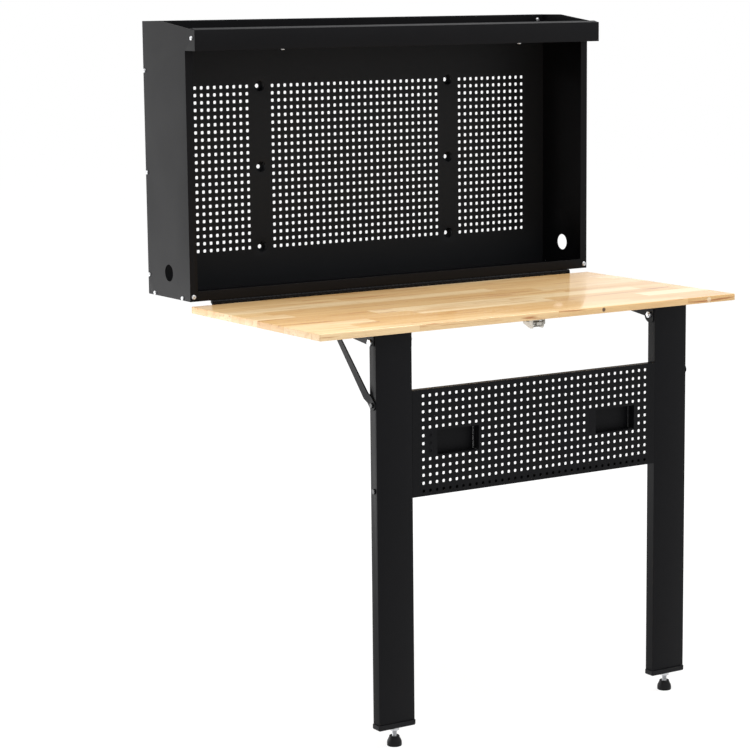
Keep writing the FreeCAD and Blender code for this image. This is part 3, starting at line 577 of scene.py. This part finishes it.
def width_from(edge, face):
    """How far a face reaches from one of its edges."""
    start = edge.verts[0].co
    line = (edge.verts[1].co - start).normalized()
    return max(((v.co - start) - (v.co - start).dot(line) * line).length for v in face.verts)


def is_fold(edge):
    """A long edge between two wide faces that stand at an angle."""
    if len(edge.link_faces) != 2 or edge.calc_length() < 3 * WIDE or edge.calc_face_angle() <= FOLD_ANGLE:
        return False
    return all(width_from(edge, face) > WIDE for face in edge.link_faces)


def eased(node, body, finish, slot, fold=FOLD_RADIUS, rim=RIM_RADIUS):
    """A CAD piece with rounded folds and eased rims, in its place."""
    piece = copy_of(node, node + "_eased")
    folds = pick(piece, "edges", is_fold) if fold else 0
    if folds:
        bpy.ops.mesh.bevel(offset=fold, segments=3, affect="EDGES", clamp_overlap=True)
    apply_modifier(piece, "BEVEL", width=rim, segments=1, limit_method="ANGLE",
                   angle_limit=math.radians(50), use_clamp_overlap=True)
    hand_over(piece, body, finish, slot, node)
    return folds


FOLDED = {"cabinet": ("side_panel_left", "side_panel_right", "bottom_panel", "tray_floor", "front_lip"),
          "leg_frame": ("leg_left", "leg_right"),
          "bench": ("leg_bracket_left", "leg_bracket_right", "brace_anchor_left", "brace_anchor_right")}
for body, nodes in FOLDED.items():
    for node in nodes:
        fold = LIP_FOLD_RADIUS if node == "front_lip" else FOLD_RADIUS
        print(node, "folds:", eased(node, body, powder_coat, "powder_black", fold=fold))
for side in ("left", "right"):
    eased("brace_" + side, side + "_brace", powder_coat, "powder_black", fold=0, rim=0.5 * MM)
    eased("leg_cap_" + side, "leg_frame", moulded, "black_plastic", fold=0, rim=0.8 * MM)

# %% [markdown]
# The lip's top flange is not quite level. Its front edge stays where the fold is, and all that lies behind is
# raised, so that it slopes up to the rear like the shoulders of the sides, and catches the light there.

# %% The lip's sloping top
LIP_RISE = 3.4 * MM
FLANGE_ZONE = 12 * MM
FRONT_FOLD_ZONE = 10 * MM
lip = bpy.data.objects["front_lip_eased"]
lip_low, lip_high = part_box("front_lip")
raised = pick(lip, "verts",
              lambda v: v.co.z > lip_high.z - FLANGE_ZONE and v.co.y > lip_low.y + FRONT_FOLD_ZONE)
bpy.ops.transform.translate(value=(0, 0, LIP_RISE))
bpy.ops.object.mode_set(mode="OBJECT")
print("lip's top flange:", raised, "corners raised")

# %% [markdown]
# ## The perforated apron
#
# The panel between the legs is punched on the same pitch, with smaller holes, and folded back on all four
# sides. Its bottom return turns up again, which makes it stiff. Two openings with a pressed box behind them
# are the handles for folding the bench. The punching leaves out the cells around them.

# %% Apron
apron_low, apron_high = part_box("apron_panel")
APRON_COLUMNS, APRON_ROWS = 36, 13
APRON_LEFT, APRON_TOP = -18 * PITCH, -405.6 * MM
APRON_HOLE = 6.2 * MM
BARE_COLUMNS = set(range(2, 9)) | set(range(26, 34))
BARE_ROWS = range(5, 8)
STIFFENER = 14 * MM
HANDLE_WIDTH = 101 * MM
CUTTER_REACH = 3 * MM
apron = perforated_sheet("apron_punched", APRON_COLUMNS, APRON_ROWS, APRON_LEFT, APRON_TOP, apron_low.y,
                         APRON_HOLE, lambda i, j: not (i in BARE_COLUMNS and j in BARE_ROWS))


def frame_out(sheet, low, high):
    """Extrudes a flat grid's rim outward to a larger rectangle, then back to the depth of its returns."""
    edges_at = ((0, APRON_LEFT, low.x), (0, -APRON_LEFT, high.x), (2, APRON_TOP, high.z),
                (2, APRON_TOP - APRON_ROWS * PITCH, low.z))
    pick(sheet, "edges", lambda e: e.is_boundary and any(
        all(abs(v.co[axis] - at) < SAME_PLACE for v in e.verts) for axis, at, target in edges_at))
    bpy.ops.mesh.extrude_region_move(TRANSFORM_OT_translate={"value": (0, 0, 0)})
    mesh = bmesh.from_edit_mesh(sheet.data)
    for vertex in mesh.verts:
        if vertex.select:
            for axis, at, target in edges_at:
                if abs(vertex.co[axis] - at) < SAME_PLACE:
                    vertex.co[axis] = target
    bmesh.update_edit_mesh(sheet.data)
    bpy.ops.mesh.extrude_region_move(TRANSFORM_OT_translate={"value": (0, high.y - low.y, 0)})


frame_out(apron, apron_low, apron_high)
pick(apron, "edges", lambda e: all(abs(v.co.y - apron_high.y) + abs(v.co.z - apron_low.z) < SAME_PLACE
                                   for v in e.verts))
bpy.ops.mesh.extrude_region_move(TRANSFORM_OT_translate={"value": (0, 0, STIFFENER)})
apply_modifier(apron, "SOLIDIFY", thickness=SHEET, offset=-1, use_even_offset=True)
for pocket in ("apron_pocket_left", "apron_pocket_right"):
    low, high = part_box(pocket)
    right_edge = high.x - SHEET
    cut_away(apron, (right_edge - HANDLE_WIDTH, apron_low.y - CUTTER_REACH, low.z + SHEET),
             (right_edge, apron_low.y + CUTTER_REACH, high.z - SHEET))
hand_over(apron, "leg_frame", powder_coat, "powder_black", "apron_panel")

# %% [markdown]
# The pressed boxes are folded from flat sheet, and their right ends are not welded: a narrow seam stays open
# between the end and the back, and a wider one between the end and the floor of the box. On the left, the
# flange that holds the box to the panel is drawn out a little.

# %% Pockets behind the handles
BACK_SEAM, FLOOR_SEAM = 0.9 * MM, 2.4 * MM
FLANGE_DRAWN = 7 * MM
for node in ("apron_pocket_left", "apron_pocket_right"):
    pocket = copy_of(node, node + "_seamed")
    low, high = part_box(node)
    end = high.x - SHEET
    cut_away(pocket, (end - BACK_SEAM, high.y - 2 * SHEET, low.z + 2 * SHEET),
             (end, high.y + SHEET, high.z - 2 * SHEET))
    cut_away(pocket, (end - FLOOR_SEAM, low.y + 2 * SHEET, low.z - SHEET),
             (end, high.y - 2 * SHEET, low.z + 1.4 * SHEET))
    pick(pocket, "verts", lambda v: v.co.x - low.x < NEAR)
    bpy.ops.transform.translate(value=(-FLANGE_DRAWN, 0, 0))
    hand_over(pocket, "leg_frame", powder_coat, "powder_black", node)

# %% [markdown]
# ## The board
#
# The board is one flat piece of wood, and its edges are rounded over with a small router bit. A cube is
# scaled to its size, its four upright corners are rounded first, and then the upper and lower edges.

# %% Board
CORNER_RADIUS, EDGE_RADIUS = 3.0 * MM, 1.2 * MM
board_low, board_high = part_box("bench_top")
board = block("board", board_low, board_high)
pick(board, "edges", lambda e: abs(e.verts[0].co.z - e.verts[1].co.z) > NEAR)
bpy.ops.mesh.bevel(offset=CORNER_RADIUS, segments=5, affect="EDGES")
apply_modifier(board, "BEVEL", width=EDGE_RADIUS, segments=3, limit_method="ANGLE",
               angle_limit=math.radians(60))
hand_over(board, "bench", rubberwood, "board", "bench_top")

# %% [markdown]
# ## The continuous hinge
#
# A continuous, or piano, hinge has a knuckle about every 10 mm along its whole length, rolled from its two
# leaves by turns. One knuckle of each leaf is modelled with its strip of sheet, and an Array modifier repeats
# it.

# %% Continuous hinge
KNUCKLES = 90
KNUCKLE_GAP = 0.5 * MM
BARREL = 3.5 * MM
LEAF_GAP = 0.2 * MM
UPRIGHT_DROP = 2.9 * MM
HINGE_Y, HINGE_Z = -187 * MM, -264.8 * MM
pin_low, pin_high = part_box("hinge_pin")
knuckle_step = (pin_high.x - pin_low.x) / KNUCKLES


def knuckle_row(name, first, tab_low, tab_high):
    """Every second knuckle of the barrel, each with the tab that it is rolled from."""
    start = pin_low.x + first * knuckle_step
    select_only(None)
    bpy.ops.mesh.primitive_cylinder_add(vertices=14, radius=BARREL, depth=knuckle_step - KNUCKLE_GAP,
                                        location=(start + knuckle_step / 2, HINGE_Y, HINGE_Z),
                                        rotation=(0, math.pi / 2, 0))
    barrel = bpy.context.object
    barrel.name = name
    bpy.ops.object.transform_apply(location=True, rotation=True, scale=True)
    apply_modifier(barrel, "BEVEL", width=0.35 * MM, segments=1, limit_method="ANGLE",
                   angle_limit=math.radians(60))
    tab = block(name + "_tab", (start + KNUCKLE_GAP / 2, *tab_low),
                (start + knuckle_step - KNUCKLE_GAP / 2, *tab_high))
    joined(barrel, tab)
    apply_modifier(barrel, "ARRAY", count=KNUCKLES // 2, use_relative_offset=False, use_constant_offset=True,
                   constant_offset_displace=(2 * knuckle_step, 0, 0))
    return barrel


leaf_low, leaf_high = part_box("hinge_leaf_cabinet")
row = knuckle_row("hinge_cabinet_side", 0, (HINGE_Y, leaf_high.z - SHEET),
                  (HINGE_Y + BARREL + LEAF_GAP, leaf_high.z))
leaf = block("cabinet_leaf", (leaf_low.x, HINGE_Y + BARREL + LEAF_GAP, leaf_high.z - SHEET), leaf_high)
hand_over(joined(row, leaf), "cabinet", powder_coat, "powder_black", "hinge_leaf_cabinet")

leaf_low, leaf_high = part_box("hinge_leaf_table")
upright_y = board_high.y
turn_z = HINGE_Z - BARREL - LEAF_GAP
row = knuckle_row("hinge_table_side", 1, (upright_y, turn_z), (upright_y + SHEET, HINGE_Z))
upright = block("upright", (leaf_low.x, upright_y, leaf_low.z),
                (leaf_high.x, upright_y + SHEET, HINGE_Z - UPRIGHT_DROP))
foot = block("foot", leaf_low, (leaf_high.x, upright_y, leaf_low.z + SHEET))
hand_over(joined(row, upright, foot), "bench", powder_coat, "powder_black", "hinge_leaf_table")
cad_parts["hinge_pin"].data.materials.clear()
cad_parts["hinge_pin"].data.materials.append(powder_coat)

# %% [markdown]
# ## Screws
#
# The sheet-metal screws have round pan heads with a cross recess. One head is modelled: a cylinder whose top
# is extruded and shrunk in steps to make the dome, and a cross cut out with two crossed wedges. Then it is
# copied to where the CAD model has each screw. The table gives the radius and the height of each kind of head
# in millimetres.

# %% One pan head
HEAD_DISC = 0.2
DOME_STEPS = ((0.965, 0.12), (0.90, 0.10), (0.80, 0.07), (0.62, 0.04), (0.35, 0.02))
HEAD_HEIGHT = HEAD_DISC + sum(rise for shrink, rise in DOME_STEPS)
WEDGE_MIDDLE, WEDGE_DEPTH, WEDGE_WIDTH = 0.42, 0.5, 0.26


def pan_head():
    """A pan head of radius 1, sitting on the XY plane and pointing up."""
    select_only(None)
    bpy.ops.mesh.primitive_cylinder_add(vertices=28, radius=1.0, depth=HEAD_DISC,
                                        location=(0, 0, HEAD_DISC / 2))
    head = bpy.context.object
    bpy.ops.object.transform_apply(location=True, rotation=True, scale=True)
    pick(head, "faces", lambda f: f.normal.z > 0.9)
    for shrink, rise in DOME_STEPS:
        size = max(math.hypot(v.co.x, v.co.y) for v in bmesh.from_edit_mesh(head.data).verts if v.select)
        bpy.ops.mesh.extrude_region_move(TRANSFORM_OT_translate={"value": (0, 0, rise)})
        bpy.ops.transform.resize(value=(shrink / size, shrink / size, 1))
    bpy.ops.object.mode_set(mode="OBJECT")
    for turn in (0, math.pi / 2):
        bpy.ops.mesh.primitive_cone_add(vertices=4, radius1=0.06, radius2=0.62, depth=WEDGE_DEPTH,
                                        location=(0, 0, WEDGE_MIDDLE), rotation=(0, 0, math.pi / 4))
        wedge = bpy.context.object
        bpy.ops.object.transform_apply(location=False, rotation=True, scale=True)
        wedge.scale = (1, WEDGE_WIDTH, 1)
        wedge.rotation_euler = (0, 0, turn)
        bpy.ops.object.transform_apply(location=False, rotation=True, scale=True)
        apply_modifier(head, "BOOLEAN", operation="DIFFERENCE", object=wedge, solver="EXACT")
        bpy.data.objects.remove(wedge)
    select_only(head)
    return head


master_head = pan_head()
print("pan head:", len(master_head.data.polygons), "faces")

# %% Screw heads where the CAD model has them
def separate_solids(node):
    """The box of each solid in a CAD node that holds several."""
    copy_of(node, "measured")
    bpy.ops.mesh.separate(type="LOOSE")
    solids = list(bpy.context.selected_objects)
    bpy.ops.object.mode_set(mode="OBJECT")
    boxes = []
    for solid in solids:
        points = [v.co for v in solid.data.vertices]
        boxes.append((Vector(map(min, zip(*points))), Vector(map(max, zip(*points)))))
        bpy.data.objects.remove(solid)
    return boxes


def screw_heads(node, body, radius, height, outward):
    """A pan head on each screw of a node. outward gives the direction of the screw with that middle."""
    heads = []
    for low, high in separate_solids(node):
        middle = (low + high) / 2
        way = Vector(outward(middle))
        tip = Vector(h if w > 0 else l if w < 0 else m for l, h, m, w in zip(low, high, middle, way))
        head = bpy.data.objects.new(node + "_heads", master_head.data.copy())
        scene.collection.objects.link(head)
        head.rotation_mode = "QUATERNION"
        head.rotation_quaternion = way.to_track_quat("Z", "Y")
        head.scale = (radius, radius, height / HEAD_HEIGHT)
        head.location = tip - way * height
        select_only(head)
        bpy.ops.object.transform_apply(location=True, rotation=True, scale=True)
        heads.append(head)
    made = joined(heads[0], *heads[1:])
    hand_over(made, body, zinc, "zinc", node)
    return len(heads)


def sideways(middle):
    return (1 if middle.x > 0 else -1, 0, 0)


def to_front(middle):
    return (0, -1, 0)


def downward(middle):
    return (0, 0, -1)


for node, body, radius, height, outward in (
        ("side_rear_screws", "cabinet", 4.5, 3.0, sideways),
        ("side_bottom_screws", "cabinet", 4.5, 3.0, sideways),
        ("lip_side_screws", "cabinet", 4.5, 3.0, sideways),
        ("flange_corner_screws", "cabinet", 5.0, 3.0, to_front),
        ("tray_rear_screws", "cabinet", 4.5, 2.5, to_front),
        ("lip_floor_screws", "cabinet", 4.5, 2.5, downward),
        ("hinge_table_screws", "bench", 4.2, 2.0, downward),
        ("leg_bracket_screws", "bench", 4.2, 2.0, downward),
        ("brace_anchor_screws", "bench", 4.2, 2.0, downward),
        ("latch_base_screws", "bench", 2.6, 1.2, downward)):
    print(node, screw_heads(node, body, radius * MM, height * MM, outward))
bpy.data.objects.remove(master_head)

# %% [markdown]
# ## Bolts, nuts and the latch
#
# These come from the CAD model, with their edges eased. The last number of each row is the width of the bevel
# in millimetres.

# %% Bolts, nuts and latch
for node, body, finish, slot, rim in (
        ("pivot_bolts", "leg_frame", zinc, "zinc", 0.5),
        ("pivot_nuts", "leg_frame", zinc, "zinc", 0.4),
        ("brace_bolts", "leg_frame", black_oxide, "black_bolt", 0.6),
        ("apron_bolts", "leg_frame", black_oxide, "black_bolt", 0.6),
        ("side_bolt_nuts", "leg_frame", zinc, "zinc", 0.4),
        ("lock_nuts", "leg_frame", zinc, "zinc", 0.5),
        ("latch_base", "bench", matt_zinc, "zinc", 0.2),
        ("latch_pin", "bench", matt_zinc, "zinc", 0.2),
        ("latch_lever", "lever", matt_zinc, "zinc", 0.2),
        ("latch_grip", "lever", moulded, "black_plastic", 0.8),
        ("latch_hook_pin", "lever", matt_zinc, "zinc", 0.2),
        ("latch_hook", "hook", matt_zinc, "zinc", 0.2)):
    eased(node, body, finish, slot, fold=0, rim=rim * MM)

# %% [markdown]
# ## Levelling feet
#
# Each foot is a threaded stem in a round pad. Both are bodies of revolution. A disc is extruded upward step
# by step, and after each step it is scaled to the next radius. The pad bulges at the bottom and has a dished
# top. Its profile lists pairs of a radius and a height in millimetres. The thread is drawn as rings, one for
# each turn.

# %% Levelling feet
def turned(name, middle, profile, vertices):
    """A closed body of revolution on an upright axis. middle is the middle of its lower end."""
    select_only(None)
    bpy.ops.mesh.primitive_circle_add(vertices=vertices, radius=profile[0][0], fill_type="NGON",
                                      location=middle)
    body = bpy.context.object
    body.name = name
    bpy.ops.object.transform_apply(location=True, rotation=True, scale=True)
    edit(body)
    bpy.ops.mesh.select_all(action="SELECT")
    for (radius, height), (next_radius, next_height) in zip(profile, profile[1:]):
        bpy.ops.mesh.extrude_region_move(TRANSFORM_OT_translate={"value": (0, 0, next_height - height)})
        bpy.ops.transform.resize(value=(next_radius / radius, next_radius / radius, 1),
                                 center_override=Vector(middle) + Vector((0, 0, next_height)))
    bpy.ops.mesh.select_all(action="SELECT")
    bpy.ops.mesh.normals_make_consistent(inside=False)
    bpy.ops.object.mode_set(mode="OBJECT")
    return body


PAD_PROFILE = ((13.6, 0.0), (14.6, 0.5), (15.0, 1.8), (15.0, 7.2), (14.4, 10.4), (13.0, 13.6), (11.4, 16.4),
               (10.6, 18.6), (10.3, 20.6), (9.9, 21.0), (9.1, 21.0), (8.2, 18.8), (4.2, 18.4))
THREAD_TURN = 1.5 * MM
THREAD_CREST, THREAD_ROOT = 5.0 * MM, 4.2 * MM
for side in ("left", "right"):
    low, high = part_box("foot_pad_" + side)
    axis_x, axis_y = (low.x + high.x) / 2, (low.y + high.y) / 2
    pad = turned("foot_pad_" + side + "_moulded", (axis_x, axis_y, low.z),
                 [(radius * MM, height * MM) for radius, height in PAD_PROFILE], vertices=40)
    hand_over(pad, side + "_foot", moulded, "black_plastic", "foot_pad_" + side)

    low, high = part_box("foot_stem_" + side)
    turns = int((high.z - low.z) / THREAD_TURN)
    thread = [(THREAD_ROOT, 0.0)]
    for turn in range(turns):
        thread += [(THREAD_CREST, (turn + 0.5) * THREAD_TURN), (THREAD_ROOT, (turn + 1) * THREAD_TURN)]
    stem = turned("foot_stem_" + side + "_threaded", (axis_x, axis_y, low.z), thread, vertices=24)
    hand_over(stem, side + "_foot", zinc, "zinc", "foot_stem_" + side)

# %% [markdown]
# ## Floor
#
# A plain pale floor catches the soft shadow of the feet. For the camera it glows a little, so that it runs
# into the surround without an edge.

# %% Floor
FLOOR_GLOW, GLOW_SHARE = 1.1, 0.8
FLOOR_GAP = 0.2 * MM
floor_paint, tree, place, out = new_finish("pale_floor")
matt = add_node(tree, "ShaderNodeBsdfDiffuse", Color=srgb("#f4f4f4"))
white = add_node(tree, "ShaderNodeEmission", Color=srgb("#ffffff"), Strength=FLOOR_GLOW)
share = math_node("MULTIPLY", seen_or_mirrored(tree), GLOW_SHARE)
mixed = add_node(tree, "ShaderNodeMixShader", _0=share, _1=matt.outputs[0], _2=white.outputs[0])
tree.links.new(mixed.outputs[0], out.inputs[0])
select_only(None)
bpy.ops.mesh.primitive_plane_add(size=40, location=(0, 0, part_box("foot_pad_left")[0].z - FLOOR_GAP))
floor = bpy.context.object
floor.name = "floor"
floor.data.materials.append(floor_paint)
